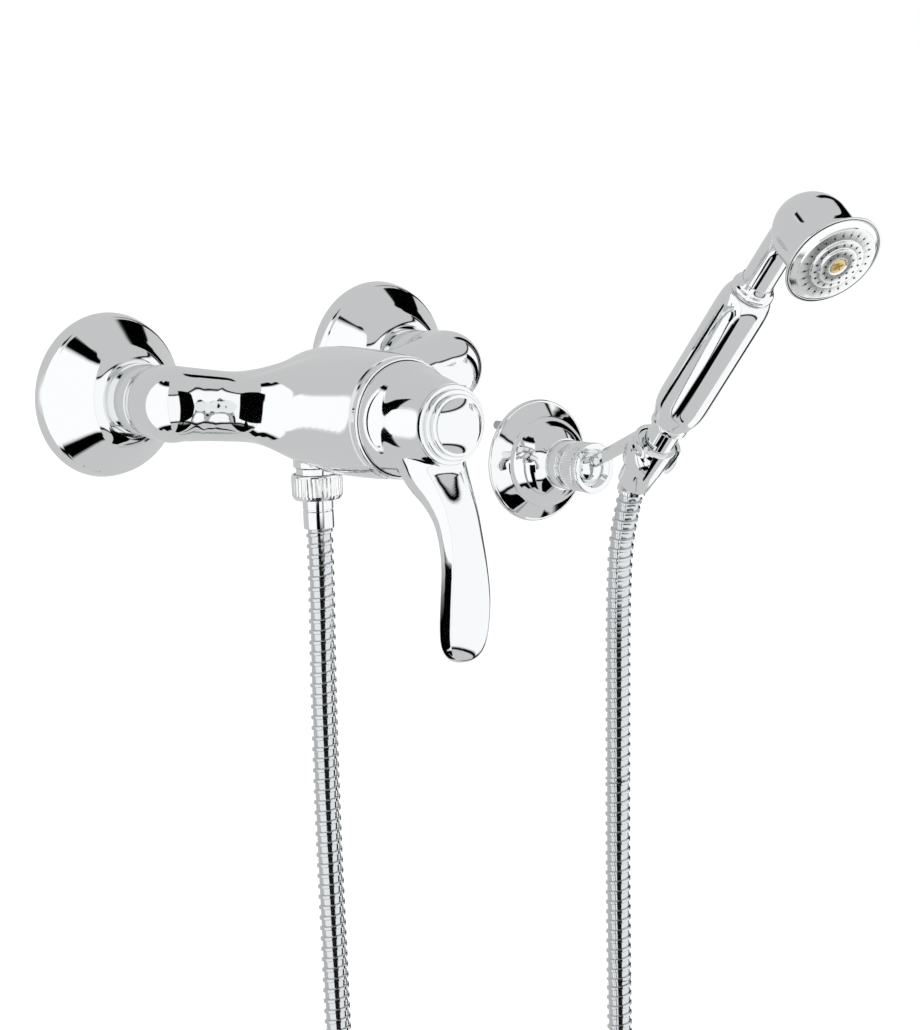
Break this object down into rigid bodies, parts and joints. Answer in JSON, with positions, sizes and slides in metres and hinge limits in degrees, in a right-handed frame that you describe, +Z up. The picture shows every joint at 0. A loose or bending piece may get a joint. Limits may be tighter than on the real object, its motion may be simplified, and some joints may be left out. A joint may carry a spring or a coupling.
{
  "type": "wall mounted shower mixer",
  "caption": "Exposed wall shower mixer with a hanging lever, bell rosettes, a ribbed hose and a hand shower in a ball jointed wall holder.",
  "frame": {"origin": "midway between the axes of the two wall threads, in the plane of the finished wall", "axes": "+Z up, +Y into the wall along the wall threads, -Y out of the wall, +X to the right along the wall"},
  "size_m": [0.3121, 0.2645, 0.6966],
  "materials": {
    "chrome": "polished",
    "satin_chrome": "satin",
    "brass": "machined",
    "steel": "machined",
    "rubber": "matt",
    "cartridge_plastic": "moulded",
    "ceramic": "lapped",
    "valve_plastic": "moulded",
    "tube_plastic": "moulded"
  },
  "bodies": {
    "wall_unit": {"cartridge_base": "cartridge_plastic", "cartridge_housing": "cartridge_plastic", "cartridge_retainer": "brass", "check_valve": "valve_plastic", "eccentric_union_left": "brass", "eccentric_union_right": "brass", "filter_gasket_left": "rubber", "filter_gasket_right": "rubber", "fixed_disc": "ceramic", "holder_plate": "steel", "holder_rosette": "chrome", "holder_screws": "steel", "holder_socket": "chrome", "holder_stud": "steel", "hose_ferrule_low": "chrome", "hose_main": "chrome", "hose_swing": "chrome", "hose_washer_low": "rubber", "inlet_nipple_left": "brass", "inlet_nipple_right": "brass", "mixer_body": "chrome", "outlet_nipple": "chrome", "outlet_washer": "rubber", "port_seals": "rubber", "rosette_left": "chrome", "rosette_right": "chrome", "union_nut_left": "chrome", "union_nut_right": "chrome"},
    "outlet_nut": {"hose_nut": "satin_chrome"},
    "spindle": {"spindle_carrier": "cartridge_plastic", "hinge_pin": "steel"},
    "lever_unit": {"stem": "brass", "lever": "chrome", "lever_screw": "steel", "cap_ring": "chrome", "cap_button": "chrome"},
    "disc_unit": {"moving_disc": "ceramic", "disc_driver": "cartridge_plastic"},
    "clamp": {"clamp_knob": "satin_chrome"},
    "arm": {"holder_ball": "chrome", "holder_arm": "chrome", "hose_top": "chrome"},
    "handset": {"handset_tail": "chrome", "handset_handle": "chrome", "inner_tube": "tube_plastic", "handset_collar": "chrome", "handset_head": "chrome", "spray_plate": "satin_chrome", "rose_gasket": "rubber", "rose_screw": "brass", "hose_ferrule_high": "chrome", "hose_washer_high": "rubber"},
    "hose_cone": {"cone_nut": "chrome"}
  },
  "joints": [
    {"name": "lever_swivel", "type": "hinge", "parent": "wall_unit", "child": "spindle", "pos_m": [0, -0.11, -0.0026], "axis": [0, 1, 0], "range_deg": [-45, 45]},
    {"name": "lever_tilt", "type": "hinge", "parent": "spindle", "child": "lever_unit", "pos_m": [0, -0.122, -0.0026], "axis": [-1, 0, 0], "range_deg": [0, 24]},
    {"name": "disc_slide", "type": "slide", "parent": "spindle", "child": "disc_unit", "axis": [0, 0, -1], "range_m": [0, 0.0052]},
    {"name": "outlet_nut_turn", "type": "hinge", "parent": "wall_unit", "child": "outlet_nut", "pos_m": [0, -0.0544, -0.038], "axis": [0, 0, 1], "continuous": true},
    {"name": "clamp_turn", "type": "hinge", "parent": "wall_unit", "child": "clamp", "pos_m": [0.17, -0.038, -0.0532], "axis": [0, 1, 0], "continuous": true},
    {"name": "holder_swing", "type": "hinge", "parent": "wall_unit", "child": "arm", "pos_m": [0.17, -0.038, -0.0532], "axis": [0, 0, 1], "range_deg": [-25, 25], "deforming": ["hose_swing"]},
    {"name": "handset_lift", "type": "slide", "parent": "arm", "child": "handset", "axis": [0, -0.6743, 0.7385], "range_m": [0, 0.028], "deforming": ["hose_top"]},
    {"name": "cone_nut_turn", "type": "hinge", "parent": "handset", "child": "hose_cone", "pos_m": [0.17, -0.1029, -0.0258], "axis": [0, -0.6743, 0.7385], "continuous": true}
  ],
  "couplings": [
    {"joint": "disc_slide", "follows": "lever_tilt", "m_per_rad": 0.01241}
  ]
}
